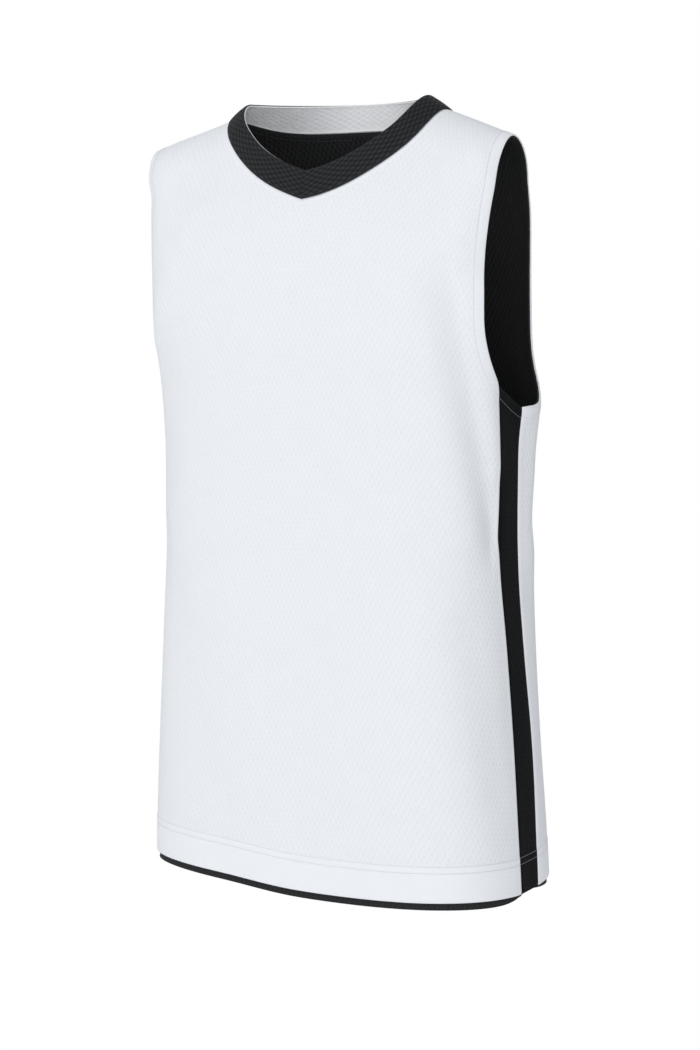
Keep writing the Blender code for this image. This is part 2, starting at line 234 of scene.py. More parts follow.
# The neck band: rows near the V's tip, columns from its edges, how it crowns, ripples and is mitred.
BAND_ROWS = 60
BAND_TIP_STEPS = (0.0, 0.004, 0.009)
BAND_STEPS = (0.00015, 0.0006, 0.0015, 0.003)
BAND_MIDDLE = (0.2, 0.8, 8)
BAND_CROWN = 0.0006
BAND_RIPPLE = 0.00012
RIPPLE_TURN = 190
RIPPLE_DRIFT = (1.3, 61)
MITRE_DIP = 0.0004
BAND_ROUND_DIP = 0.0005
BAND_SEAM_WIDTH = 0.0009
BAND_ROUND_WIDTH = 0.0008
FACING_GAP = 0.0001

# Stitches: thread and spacing. A profile row is a place along the stitch and the thread's share of its size.
STITCH_PITCH = 0.0031
STITCH_LENGTH = 0.0025
THREAD_RADIUS = 0.00026
THREAD_SINK = 0.35
THREAD_SIDES = 6
THREAD_FLATNESS = 0.8
THREAD_PROFILE = ((-0.5, 0.35), (-0.36, 0.9), (0.0, 1.0), (0.36, 0.9), (0.5, 0.35))
NECK_STITCH_ROW = 0.0065

# The knit: holes in staggered rows, the size of one repeat, and the loops between them.
REPEAT_ACROSS = 0.00445
REPEAT_DOWN = 0.0089
HOLE_FROM_TO = (0.25, 0.85)
RIDGE_FROM_TO = (-0.1, -0.8)
LOOP_WIDTH = 0.00074
LOOP_HEIGHT = 0.00056
LOOP_SLANT = 4.0
WANDER = 0.00022
DOUBLED_AT_HEM = (HEM_WIDTH + 0.0006, HEM_WIDTH - 0.0006)
DOUBLED_AT_EDGE = (EDGE_WIDTH + 0.0005, EDGE_WIDTH - 0.0005)
DOUBLED_AT_SEAM = (0.0052, 0.0042)
DOUBLED_AT_BAND_SEAM = (0.0030, 0.0016)
DOUBLED_AT_BAND_EDGE = (0.0024, 0.0012)
HOLES_WHERE_DOUBLED = 0.22
RIDGES_WHERE_DOUBLED = 0.3
# How much of the ridges takes the painted highlight.
RIDGE_HIGHLIGHT_SHARE = 0.8
MOTTLE = 0.030
LOOP_SHADE = 0.05

# The knit's heights are in millimetres. A pucker fades out between two distances from its stitch row or seam.
BUMP_UNIT = 0.001
LOOP_BUMP = 0.07
SOFT_BUMP = 0.30
HEM_PUCKER = 0.30
EDGE_PUCKER = 0.35
HEM_ROWS_MIDDLE = 0.028
HEM_PUCKER_FADE = (0.011, 0.002)
EDGE_PUCKER_FADE = (0.007, 0.001)
SEAM_PUCKER_FADE = (0.008, 0.0)
KNIT_ROUGHNESS = 0.72
HOLE_ROUGHNESS = 0.12
LOOP_ROUGHNESS = -0.08
KNIT_SHEEN_ROUGHNESS = 0.45

# Each cloth's colour, and what its holes, ridges and doubled parts multiply it by. The ridges' lightening is a
# painted highlight. The holes' darkening is the black layer beneath showing through on the white knits, and painted
# shade in the holes on the black ones.
Knit = namedtuple("Knit", "color hole ridge doubled depth sheen specular along_band")
KNITS = {
    "white_mesh": Knit((0.868, 0.886, 0.922), 0.958, 1.012, 1.03, 0.12, 0.03, 0.22, False),
    "insert_mesh": Knit((0.0050, 0.0054, 0.0062), 0.55, 1.5, 0.7, 0.20, 0.01, 0.09, False),
    "black_mesh": Knit((0.0180, 0.0188, 0.0200), 0.55, 1.5, 1.15, 0.20, 0.02, 0.14, False),
    "black_rib": Knit((0.0150, 0.0158, 0.0172), 0.60, 2.3, 1.2, 0.26, 0.02, 0.15, True),
    # The facing's colour is set above the white mesh's as painted light, brightening its shaded face inside the
    # neck.
    "white_band": Knit((0.925, 0.938, 0.955), 0.95, 1.01, 1.01, 0.14, 0.03, 0.22, True),
}
THREAD_TWIST = 0.00045
THREAD_BUMP = 0.00006
# How dark the painted shade in the twist's grooves makes the thread.
THREAD_GROOVE_SHADE = 0.80
THREAD_ROUGHNESS = 0.55
THREAD_SHEEN = 0.2

# Floor, light and camera. The floor lies below the hem, about where the wearer would stand.
FLOOR_RADIUS = 3.0
FLOOR_HEIGHT = -1.30
FLOOR_COLORS = ((0.90,) * 3, (0.93,) * 3)
FLOOR_NOISE_SCALE = 3.0
FLOOR_ROUGHNESS = 0.9
MIDDLE = (0.0, 0.02, -0.32)
FILL_COLOR = (0.97, 0.985, 1.0)
FILL_STRENGTH = 0.585
FILL_FROM_FRONT = 0.13
Light = namedtuple("Light", "name azimuth elevation distance size power color")
LIGHTS = (
    Light("key", -38, 28, 3.2, 2.2, 20, (1.0, 0.99, 0.98)),
    Light("front_fill", 32, 3, 3.4, 2.0, 28, (0.98, 0.99, 1.0)),
    Light("back_fill", 205, 30, 3.4, 2.4, 16, (0.99, 0.995, 1.0)),
)
SENSOR = 36.0
LENS = 135.77
CAMERA_AZIMUTH = 32.0
CAMERA_ELEVATION = 1.1
CAMERA_DISTANCE = 3.4
CAMERA_TARGET = (0.01448, 0.00759, -0.34138)


# ---- The form ----

def smooth_interp(place, places, values):
    """A curve through the table's values, without kinks."""
    places = np.asarray(places, float)
    values = np.asarray(values, float)
    slopes = np.gradient(values, places)
    index = np.clip(np.searchsorted(places, place) - 1, 0, len(places) - 2)
    step = places[index + 1] - places[index]
    t = (place - places[index]) / step
    start = (1 + 2 * t) * (1 - t) ** 2 * values[index] + t * (1 - t) ** 2 * step * slopes[index]
    end = t * t * (3 - 2 * t) * values[index + 1] + t * t * (t - 1) * step * slopes[index + 1]
    return start + end


def smoothstep(low, high, value):
    t = np.clip((value - low) / (high - low), 0, 1)
    return t * t * (3 - 2 * t)


def bell(distance, half_width):
    return np.exp(-((distance / half_width) ** 2))


def section_value(name, height):
    heights = [row.height for row in SECTIONS]
    limited = np.clip(height, heights[0], heights[-1])
    return smooth_interp(limited, heights, [getattr(row, name) for row in SECTIONS])


def unit_section(angle):
    """Across and forward parts of the section of half breadth 1 and depth 1 at an angle."""
    across = np.sin(np.radians(angle))
    forward = np.cos(np.radians(angle))
    radius = (np.abs(across) ** SQUARENESS + np.abs(forward) ** SQUARENESS) ** (-1 / SQUARENESS)
    return across * radius, forward * radius


ANGLES = np.linspace(0, 180, 8 * 180 + 1)
ring_across, ring_forward = unit_section(ANGLES)
ring_depth = np.where(ring_forward > 0, REFERENCE.front_depth, REFERENCE.back_depth)
ring_steps = np.hypot(np.diff(ring_across * REFERENCE.half_breadth), np.diff(ring_forward * ring_depth))
ARCS = np.concatenate([[0], np.cumsum(ring_steps)])
ARC_BACK = ARCS[-1]


def arc_of(angle):
    return np.interp(angle, ANGLES, ARCS)


def angle_of(arc):
    return np.interp(arc, ARCS, ANGLES)


def shoulder_height(x):
    """The shoulder line's height. Inside the neck it levels off, as a guide for the cloth beside it."""
    x = np.abs(x)
    outside = NECK_POINT_HEIGHT - SHOULDER_SLOPE * (x - NECK_HALF_WIDTH)
    inside = NECK_POINT_HEIGHT + SHOULDER_SLOPE * (NECK_HALF_WIDTH**2 - x**2) / (2 * NECK_HALF_WIDTH)
    return np.where(x < NECK_HALF_WIDTH, inside, outside)


def drop_of_fall(fall):
    return fall**2 / (np.abs(fall) + 2 * CREST)


def fall_of_drop(drop):
    return (drop + np.sqrt(drop**2 + 8 * CREST * drop)) / 2


def near_tip(x):
    """0 from the centre out to the neck point, rising smoothly to 1 at the shoulder tip."""
    return smoothstep(NECK_HALF_WIDTH, SHOULDER_TIP_X, np.abs(x))


def shoulder_fullness(x, drop):
    """How much of the body's depth the cloth has at a drop below the shoulder line, from 0 to 1."""
    arch_share = ARCH_SHARE + (ARCH_SHARE_AT_TIP - ARCH_SHARE) * near_tip(x)
    arch = 1 - np.clip(drop / ARCH_DROP, 0, 1)
    spread = np.clip(drop / FULL_DROP, 0, 1) * np.pi / 2
    return arch_share * np.sqrt(1 - arch**2) + (1 - arch_share) * np.sin(spread)


def tip_forward(x, drop):
    """How far the shoulder line comes forward towards its tip. It dies out down the body."""
    return TIP_FORWARD * near_tip(x) * np.exp(-((drop / FULL_DROP) ** 2))


def crease_rise(crease, angle, height):
    """How far a crease lifts the cloth: the nearest part of its path counts, and its ends taper."""
    best = np.full(angle.shape, np.inf)
    for start, end in zip(crease.path, crease.path[1:]):
        run = np.array([(end[0] - start[0]) * DEGREE_ARC, end[1] - start[1]])
        across = ((angle - start[0] + 180) % 360 - 180) * DEGREE_ARC
        down = height - start[1]
        share = np.clip((across * run[0] + down * run[1]) / (run @ run), 0, 1)
        off_across = across - share * run[0]
        off_down = down - share * run[1]
        ahead = smoothstep(-CREASE_BLEND, CREASE_BLEND, off_across)
        width = crease.behind + (crease.ahead - crease.behind) * ahead
        best = np.minimum(best, np.hypot(off_across, off_down) / width)
    return crease.rise * np.exp(-(best**2))


def drape_rise(angle, height):
    rise = np.zeros(angle.shape)
    for crease in CREASES:
        rise += crease_rise(crease, angle, height)
    for wave in WAVES:
        size = wave.height * smoothstep(-wave.start, -wave.full, -height)
        rise += size * np.sin(np.radians(angle) * wave.turns + wave.phase + wave.lean * height)
    return rise


def form_point(side, arc, fall):
    """The point of the outer cloth's face at a place."""
    drop = drop_of_fall(fall)
    angle = angle_of(arc)
    across, forward = unit_section(angle)
    height = NECK_POINT_HEIGHT - drop
    for _ in range(HEIGHT_PASSES):
        x = section_value("half_breadth", height) * across
        height = shoulder_height(x) - drop
    depth = np.where(forward > 0, section_value("front_depth", height), section_value("back_depth", height))
    y = section_value("side_y", height) - tip_forward(x, drop) - depth * forward * shoulder_fullness(x, drop)
    rise = drape_rise(side * angle, height)
    outward = np.radians(angle)
    return np.stack([side * (x + rise * np.sin(outward)), y - rise * np.cos(outward), height], axis=-1)


def form_normal(side, arc, fall):
    """The outward direction of the form."""
    fall = np.maximum(fall, 1.5 * PROBE)
    round_step = form_point(side, arc + PROBE_ARC, fall) - form_point(side, arc - PROBE_ARC, fall)
    down_step = form_point(side, arc, fall + PROBE) - form_point(side, arc, fall - PROBE)
    normal = np.cross(down_step, round_step) * side
    return normal / np.linalg.norm(normal, axis=-1, keepdims=True)


# ---- The cut: places on the form ----

def place_at(angle, height):
    """(arc, fall) of the place at an angle and a height."""
    x = section_value("half_breadth", height) * unit_section(angle)[0]
    fall = fall_of_drop(np.maximum(shoulder_height(x) - height, 0))
    return np.stack([arc_of(angle) + 0 * fall, fall], axis=-1)


def place_across(x, height, back):
    """(arc, fall) of the place at x and a height, on the front or the back."""
    across = x / section_value("half_breadth", height)
    forward = (1 - across**SQUARENESS) ** (1 / SQUARENESS)
    angle = np.degrees(np.arctan2(across, forward))
    return place_at(180 - angle if back else angle, height)


def beside_crest(places, distance):
    """The places moved down the cloth to a distance from the shoulder line, where they are nearer than that."""
    arc, fall = places[..., 0], places[..., 1]
    reach = np.linalg.norm(form_point(1, arc, 0 * arc + PROBE) - form_point(1, arc, 0 * arc), axis=-1) / PROBE
    return np.stack([arc, np.maximum(fall, distance / reach)], axis=-1)


def hem_height(angle, inner):
    """The hem's height at an angle that is positive on the wearer's left."""
    height = smooth_interp(angle, *zip(*HEM))
    middle, half_width = INNER_HEM_SIDE
    return height - INNER_HEM_DROP * (1 - bell(np.abs(angle) - middle, half_width)) * inner


def armhole_low(back):
    """The height of a side seam's top, where the armhole begins."""
    return ARMHOLE_BACK_HEIGHT if back else ARMHOLE_FRONT_HEIGHT


def insert_angle(height, back):
    """A side seam's angle: the insert lies between the front seam and the back one."""
    heights = [row.height for row in INSERT]
    return smooth_interp(height, heights, [row[2 if back else 1] for row in INSERT])


def v_rise(side, share):
    """How far an arm of the V has risen, from 0 at its tip to 1 at the neck point, at a share of its half width."""
    arm = NECK_ARMS[side]
    late = 1 - arm.straight - arm.bent
    return arm.straight * share + arm.bent * share**2 + late * share**arm.late_power


def neck_seam(t, side, back):
    """The places on a side's neck seam at t, from the centre at 0 to the neck point at 1."""
    x = NECK_HALF_WIDTH * np.sin(t * np.pi / 2)
    share = x / NECK_HALF_WIDTH
    if back:
        height = BACK_NECK_HEIGHT + (NECK_POINT_HEIGHT - BACK_NECK_HEIGHT) * share**BACK_NECK_CURVE
    else:
        height = V_TIP_HEIGHT + (NECK_POINT_HEIGHT - V_TIP_HEIGHT) * v_rise(side, share)
    return beside_crest(place_across(x, height, back), SEAM_GAP / 2)


def armhole_edge(t, back):
    """The places up the armhole edge at t, from the side seam's top at 0 to the shoulder tip at 1."""
    rows = [place_at(insert_angle(armhole_low(back), back), armhole_low(back))]
    if back:
        rows.append(place_at(ARMHOLE_BACK_CORNER.back_angle, ARMHOLE_BACK_CORNER.height))
    rows += [place_at(row[2 if back else 1], row.height) for row in reversed(ARMHOLE)]
    rows.append(beside_crest(place_across(SHOULDER_TIP_X, SHOULDER_TIP_HEIGHT, back), SEAM_GAP / 2))
    rows = np.array(rows)
    points = form_point(1, rows[:, 0], rows[:, 1])
    lengths = np.linalg.norm(np.diff(points, axis=0), axis=1)
    shares = np.concatenate([[0], np.cumsum(lengths)]) / lengths.sum()
    return np.stack([smooth_interp(t, shares, values) for values in rows.T], axis=-1)


def height_over_hem(low, top, step, share):
    """A height over the hem at low: a distance from it, then a share of the way on to the top."""
    return low + step + (top - low - step) * share


def low_rows():
    """(distance from the hem, share of the way on up) of each row below the armhole."""
    shares = np.arange(1, LOW_ROWS + 1) / LOW_ROWS
    steps = np.concatenate([HEM_STEPS, np.full(LOW_ROWS, HEM_STEPS[-1])])
    return steps, np.concatenate([np.zeros(len(HEM_STEPS)), shares])


def side_seam(side, back, inner):
    """The places of the rows' ends up a side seam."""
    low = hem_height(side * insert_angle(HEM_LEVEL, back), inner)
    height = height_over_hem(low, armhole_low(back), *low_rows())
    return place_at(insert_angle(height, back), height)


def centre_line(side, back, inner):
    """The places of the rows' starts up the centre front or back."""
    centre = 180.0 if back else 0.0
    height = height_over_hem(hem_height(side * centre, inner), armhole_low(back), *low_rows())
    return place_at(centre, height)


def shares_along(starts, ends):
    """The columns' shares of the way along each row: crowded at both ends, as NECK_STEPS and EDGE_STEPS say."""
    length = np.hypot(*(ends - starts).T)[:, None]
    first = np.array(NECK_STEPS) / length
    last = 1 - np.array(EDGE_STEPS[::-1]) / length
    t = np.linspace(0, 1, MIDDLE_COLUMNS + 2)[1:-1]
    middle = first[:, -1:] + (last[:, :1] - first[:, -1:]) * t
    return np.concatenate([first, middle, last], axis=1)


def hang_rows(places, side, inner, top):
    """The low rows again, with each place at its own distance over the hem. Upwards that dies out."""
    steps, share = (row[:, None] for row in low_rows())
    angle = angle_of(places[..., 0])
    height = height_over_hem(hem_height(side * angle, inner), top, steps, share)
    fall = place_at(angle, height)[..., 1]
    hung = places.copy()
    hung[..., 1] += (fall - places[..., 1]) * (1 - smoothstep(0, 1, share))
    return hung


def panel_places(side, back, inner):
    """Places of half a panel, as rows from the hem to the shoulder and columns from the centre to the edge."""
    neck_rows = BACK_NECK_ROWS if back else FRONT_NECK_ROWS
    top = armhole_low(back)
    tip = neck_seam(np.zeros(1), side, back)[0]
    centre_rows = np.arange(1, ARM_ROWS - neck_rows + 1) / (ARM_ROWS - neck_rows)
    tip_height = form_point(1, *tip)[2]
    centre = place_at(180.0 if back else 0.0, top + (tip_height - top) * centre_rows)
    starts = np.concatenate([
        centre_line(side, back, inner), centre, neck_seam(np.arange(1, neck_rows + 1) / neck_rows, side, back)])
    ends = np.concatenate([side_seam(side, back, inner), armhole_edge(np.arange(1, ARM_ROWS + 1) / ARM_ROWS, back)])
    shares = shares_along(starts, ends)[..., None]
    places = starts[:, None] + (ends - starts)[:, None] * shares
    places[:BELOW_ARMHOLE] = hang_rows(places[:BELOW_ARMHOLE], side, inner, top)
    crest = [beside_crest(places[-1], step)[None] for step in CREST_STEPS]
    return np.concatenate([places[:-1], *crest, places[-1:]])


def insert_places(side, inner, first, last, first_gap, last_gap):
    """Places between the side seams, from one share of the way from the front seam to the back one."""
    front = side_seam(side, False, inner)
    back = side_seam(side, True, inner)
    width = np.hypot(*(back - front).T)[:, None]
    columns = max(2, round(INSERT_COLUMNS * (last - first)))
    middle = np.linspace(first, last, columns + 1)[1:-1]
    after_first = first + (first_gap + INSERT_EDGE_STEP) / width
    before_last = last - (last_gap + INSERT_EDGE_STEP) / width
    shares = np.concatenate(
        [first + first_gap / width, after_first, middle + 0 * width, before_last, last - last_gap / width], axis=1)
    places = front[:, None] + (back - front)[:, None] * shares[..., None]
    top = ARMHOLE_FRONT_HEIGHT + (ARMHOLE_BACK_HEIGHT - ARMHOLE_FRONT_HEIGHT) * shares
    return hang_rows(places, side, inner, top)


# ---- Distances from the edges, and the relief they give ----

def nearest(points, line):
    """Each point's distance to the nearest of a line's points."""
    flat = points.reshape(-1, 3)
    best = np.full(len(flat), np.inf)
    for spot in line:
        best = np.minimum(best, ((flat - spot) ** 2).sum(axis=1))
    return np.sqrt(best).reshape(points.shape[:-1])


def points_at(side, places):
    return form_point(side, places[..., 0], places[..., 1])


def edge_line(side, back):
    return points_at(side, armhole_edge(np.linspace(0, 1, ARMHOLE_POINTS), back))


def insert_top_line(side):
    """The armhole's edge along the top of the insert."""
    front = side_seam(side, False, False)[-1]
    back = side_seam(side, True, False)[-1]
    t = np.linspace(0, 1, INSERT_TOP_POINTS)[:, None]
    return points_at(side, front + (back - front) * t)


def seam_line(side, back):
    height = np.linspace(BELOW_HEM, armhole_low(back), SEAM_POINTS)
    return points_at(side, place_at(insert_angle(height, back), height))


def neck_line(side, back):
    return points_at(side, neck_seam(np.linspace(0, 1, NECK_POINTS), side, back))


Edges = namedtuple("Edges", "hem armhole seam neck")


def edges_of(side, places, inner, backs, has_neck):
    """Each place's distance over the hem, and from the armhole, side seams and neck seam."""
    points = points_at(side, places)
    hem = points[..., 2] - hem_height(side * angle_of(places[..., 0]), inner)
    armhole = nearest(points, np.concatenate([*(edge_line(side, back) for back in backs), insert_top_line(side)]))
    seam = np.minimum.reduce([nearest(points, seam_line(side, back)) for back in backs])
    neck = nearest(points, neck_line(side, backs[0])) if has_neck else np.full(hem.shape, FAR)
    shoulder = places[..., 1] * SHOULDER_REACH
    return Edges(hem, armhole, np.minimum(seam, shoulder), neck)


def relief(edges):
    """How far turned edges, seams and stitch rows lift or dip the cloth."""
    lift = TURNED_LIFT * (1 - smoothstep(*HEM_STEP, edges.hem))
    lift = np.maximum(lift, TURNED_LIFT * (1 - smoothstep(*EDGE_STEP, edges.armhole)))
    for row in HEM_STITCH_ROWS:
        lift = lift - STITCH_DIP * bell(edges.hem - row, STITCH_DIP_WIDTH)
    lift = lift - STITCH_DIP * bell(edges.armhole - EDGE_STITCH_ROW, STITCH_DIP_WIDTH)
    lift = lift - SEAM_DIP * bell(np.minimum(edges.seam, edges.neck), SEAM_DIP_WIDTH)
    return lift - ROUND_DIP * bell(np.minimum(edges.hem, edges.armhole), ROUND_DIP_WIDTH)


def cloth_points(side, places, edges, inner):
    """Points of a layer of cloth. The layers lie closer together at the armhole's edge."""
    depth = -relief(edges)
    if inner:
        apart = smoothstep(0.0, INNER_APART_FROM, edges.armhole)
        depth = INNER_DEPTH_AT_EDGE + (INNER_DEPTH - INNER_DEPTH_AT_EDGE) * apart - depth
    normals = form_normal(side, places[..., 0], places[..., 1])
    return points_at(side, places) - normals * depth[..., None]


# ---- Meshes ----

Patch = namedtuple("Patch", "points cloth hem_edge seam_neck flip")


def new_object(name, data):
    made = bpy.data.objects.new(name, data)
    bpy.context.scene.collection.objects.link(made)
    return made


def add_sheet(name, patches, material):
    """One sheet of cloth from patches that are sewn where they meet, with a wall behind its face."""
    verts, faces, loops = [], [], {"cloth": [], "hem_edge": [], "seam_neck": []}
    count = 0
    for patch in patches:
        rows, columns = patch.points.shape[:2]
        index = count + np.arange(rows * columns).reshape(rows, columns)
        corners = [index[:-1, :-1], index[:-1, 1:], index[1:, 1:], index[1:, :-1]]
        order = corners[::-1] if patch.flip else corners
        quads = np.stack([corner.ravel() for corner in order], axis=1)
        verts.append(patch.points.reshape(-1, 3))
        faces.append(quads)
        for key in loops:
            loops[key].append(getattr(patch, key).reshape(-1, 2)[quads - count].reshape(-1, 2))
        count += rows * columns
    data = bpy.data.meshes.new(name)
    data.from_pydata(np.concatenate(verts).tolist(), [], np.concatenate(faces).tolist())
    for key, values in loops.items():
        layer = data.uv_layers.new(name=key)
        layer.uv.foreach_set("vector", np.concatenate(values).astype(np.float32).ravel())
    mesh = bmesh.new()
    mesh.from_mesh(data)
    bmesh.ops.remove_doubles(mesh, verts=mesh.verts, dist=SEWN_WITHIN)
    mesh.to_mesh(data)
    mesh.free()
    data.shade_smooth()
    piece = new_object(name, data)
    solid = piece.modifiers.new("cloth wall", "SOLIDIFY")
    solid.thickness = WALL
    solid.offset = -1
    data.materials.append(material)
    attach(piece, "root")
    return piece


def patch_of(side, places, edges, points, back, flip):
    """A patch with its UV maps: the cloth's own metres, and its distances from the edges."""
    across = (ARC_BACK - places[..., 0] if back else places[..., 0]) * side
    cloth = np.stack([across, -places[..., 1]], axis=-1)
    hem_edge = np.stack([edges.hem, edges.armhole], axis=-1)
    seam_neck = np.stack([edges.seam, edges.neck], axis=-1)
    return Patch(points, cloth, hem_edge, seam_neck, flip)


def panel_patches(back, inner):
    """A front's or back's two halves. On the reverse side they reach to the middle of where the inserts lie."""
    patches = []
    for side in (1, -1):
        places = panel_places(side, back, inner)
        edges = edges_of(side, places, inner, (back,), True)
        points = cloth_points(side, places, edges, inner)
        points[:, 0, 0] = np.where(np.abs(points[:, 0, 0]) < CENTRE_WITHIN, 0, points[:, 0, 0])
        patches.append(patch_of(side, places, edges, points, back, (side < 0) != back))
        if inner:
            span = (0.5, 1, 0, 0) if back else (0, 0.5, 0, 0)
            places = insert_places(side, inner, *span)
            edges = edges_of(side, places, inner, (False, True), False)
            points = cloth_points(side, places, edges, inner)
            patches.append(patch_of(side, places, edges, points, back, side < 0))
    return patches


def whole_insert(side):
    places = insert_places(side, False, 0, 1, SEAM_GAP, SEAM_GAP)
    return places, edges_of(side, places, False, (False, True), False)


def insert_patches(side):
    places, edges = whole_insert(side)
    return [patch_of(side, places, edges, cloth_points(side, places, edges, False), False, side < 0)]


def band_edge(t, side, back):
    """The points along the neck seam at t, and those beside them on the neck band's free edge."""
    x = BAND_HALF_WIDTH * np.sin(t * np.pi / 2)
    seam = points_at(1, neck_seam(t, side, back))
    if back:
        middle, end = points_at(1, neck_seam(np.array([0.0, 1.0]), side, True))[:, 1]
        y = end + (middle - BAND_LEAN_BACK - end) * np.cos(t * np.pi / 2) ** BAND_BACK_CURVE
        return seam, np.stack([x, y, BAND_TOP_HEIGHT + 0 * x], axis=1)
    height = BAND_TIP_HEIGHT + (BAND_TOP_HEIGHT - BAND_TIP_HEIGHT) * v_rise(side, x / BAND_HALF_WIDTH)
    return seam, np.stack([x, seam[:, 1] + BAND_LEAN_TIP * (1 - t), height], axis=1)


def band_patch(side, depth):
    """Half the neck band at a depth: crowned a little, rolled over at its free edge, mitred at the V's tip."""
    front = band_edge(np.concatenate([BAND_TIP_STEPS, np.linspace(0, 1, BAND_ROWS)[1:]]), side, False)
    back = band_edge(np.linspace(1, 0, BAND_ROWS)[1:], side, True)
    seam, edge = (np.concatenate(pair) for pair in zip(front, back))
    across = edge - seam
    width = np.linalg.norm(across, axis=1)[:, None]
    steps = np.array(BAND_STEPS)
    middle = np.linspace(*BAND_MIDDLE) + 0 * width
    shares = np.concatenate([steps / width, middle, 1 - steps[::-1] / width], axis=1)
    points = seam[:, None] + across[:, None] * shares[..., None]
    normals = np.cross(np.gradient(points, axis=0), np.gradient(points, axis=1))
    normals[[0, -1], :, 0] = 0
    normals /= np.linalg.norm(normals, axis=-1, keepdims=True)
    along = np.concatenate([[0], np.cumsum(np.linalg.norm(np.diff((seam + edge) / 2, axis=0), axis=1))])[:, None]
    from_seam = shares * width
    from_edge = (1 - shares) * width
    lift = BAND_CROWN * np.sin(np.pi * shares) - SEAM_DIP * bell(from_seam, BAND_SEAM_WIDTH)
    lift = lift - MITRE_DIP * bell(along, BAND_SEAM_WIDTH) - BAND_ROUND_DIP * bell(from_edge, BAND_ROUND_WIDTH)
    drift = RIPPLE_DRIFT[0] * np.sin(along * RIPPLE_DRIFT[1])
    lift = lift + BAND_RIPPLE * np.sin(along * RIPPLE_TURN + drift) * np.sin(np.pi * shares)
    shown = (points + normals * (lift - depth)[..., None]) * (side, 1, 1)
    cloth = np.stack([from_seam, along * side + 0 * shares], axis=-1)
    far = np.full(cloth.shape, FAR)
    return Patch(shown, cloth, far, np.stack([from_seam, from_edge], axis=-1), side < 0)


# ---- Stitches ----

def unit(vectors):
    return vectors / np.linalg.norm(vectors, axis=-1, keepdims=True)


def along_line(points, normals):
    """Centres, directions and upward directions of the stitches along a line of points."""
    run = np.concatenate([[0], np.cumsum(np.linalg.norm(np.diff(points, axis=0), axis=1))])
    count = int(run[-1] / STITCH_PITCH)
    at = (np.arange(count) + 0.5) * run[-1] / count
    reach = 0.25 * STITCH_PITCH

    def spot(values, where):
        return np.stack([np.interp(where, run, values[:, k]) for k in range(3)], axis=1)

    ahead = unit(spot(points, at + reach) - spot(points, at - reach))
    up = spot(normals, at)
    return spot(points, at), ahead, unit(up - (up * ahead).sum(axis=1, keepdims=True) * ahead)


def add_stitches(name, rows, material):
    """Stitches as short rounded threads, joined into one piece. A row is (points, normals)."""
    ring = np.linspace(0, 2 * np.pi, THREAD_SIDES, endpoint=False)
    verts, faces = [], []
    count = 0
    rings = len(THREAD_PROFILE)
    for points, normals in rows:
        centres, ahead, up = along_line(points, normals)
        for centre, run, rise, cross in zip(centres, ahead, up, np.cross(ahead, up)):
            for place, size in THREAD_PROFILE:
                middle = centre + run * place * STITCH_LENGTH + rise * THREAD_RADIUS * THREAD_SINK
                wide = np.cos(ring)[:, None] * cross * THREAD_RADIUS * size
                high = np.sin(ring)[:, None] * rise * THREAD_RADIUS * size * THREAD_FLATNESS
                verts.append(middle + wide + high)
            for first in range(count, count + (rings - 1) * THREAD_SIDES, THREAD_SIDES):
                second = first + THREAD_SIDES
                for j in range(THREAD_SIDES):
                    n = (j + 1) % THREAD_SIDES
                    faces.append((first + j, first + n, second + n, second + j))
            faces.append(tuple(count + j for j in reversed(range(THREAD_SIDES))))
            faces.append(tuple(count + (rings - 1) * THREAD_SIDES + j for j in range(THREAD_SIDES)))
            count += rings * THREAD_SIDES
    data = bpy.data.meshes.new(name)
    data.from_pydata(np.concatenate(verts).tolist(), [], faces)
    data.validate()
    data.shade_smooth()
    mesh = bmesh.new()
    mesh.from_mesh(data)
    bmesh.ops.recalc_face_normals(mesh, faces=mesh.faces)
    mesh.to_mesh(data)
    mesh.free()
    piece = new_object(name, data)
    data.materials.append(material)
    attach(piece, "root")
    return piece


def lifted(side, places, lift, inward=False):
    """A line of points on the cloth's shown face, and its normals. Inward is the lining's side to the body."""
    points = points_at(side, places)
    normals = form_normal(side, places[:, 0], places[:, 1])
    if inward:
        return points - normals * (INNER_DEPTH + WALL + lift), -normals
    return points + normals * lift, normals


def hem_row(side, first, last, row, inner):
    """A stitch row round the hem between two angles, a distance over the hem."""
    angle = np.linspace(first, last, HEM_POINTS)
    height = hem_height(side * angle, inner) + row
    return lifted(side, place_at(angle, height), TURNED_LIFT - STITCH_DIP, inner)


def hem_rows(side, back, inner):
    """Both stitch rows of a panel's half, from the centre to the side seam."""
    centre = 180.0 if back else 0.0
    seam = insert_angle(HEM_LEVEL, back)
    return [hem_row(side, centre, seam, row, inner) for row in HEM_STITCH_ROWS]


def crossings(places, distance, reach):
    """Where each row of places, followed from its end, first comes to a distance from an edge."""
    found = []
    for row, values in zip(places, distance):
        values, row = values[::-1], row[::-1]
        beyond = np.nonzero(values > reach)[0]
        if len(beyond) == 0 or beyond[0] == 0:
            continue
        k = beyond[0]
        share = (reach - values[k - 1]) / (values[k] - values[k - 1])
        found.append(row[k - 1] + (row[k] - row[k - 1]) * share)
    return np.array(found)


def armhole_row(side, back):
    places = panel_places(side, back, False)
    edges = edges_of(side, places, False, (back,), False)
    found = crossings(places, edges.armhole, EDGE_STITCH_ROW)
    return lifted(side, found, TURNED_LIFT - STITCH_DIP)


def insert_top_row(side):
    places, edges = whole_insert(side)
    found = crossings(places.transpose(1, 0, 2), edges.armhole.T, EDGE_STITCH_ROW)
    return lifted(side, found, TURNED_LIFT - STITCH_DIP)


def neck_row(side, back):
    """The row that holds the neck seam's allowance down, on the inside."""
    places = panel_places(side, back, True)
    edges = edges_of(side, places, True, (back,), True)
    found = crossings(places[BELOW_ARMHOLE:, ::-1], edges.neck[BELOW_ARMHOLE:, ::-1], NECK_STITCH_ROW)
    return lifted(side, found, 0.0, True)


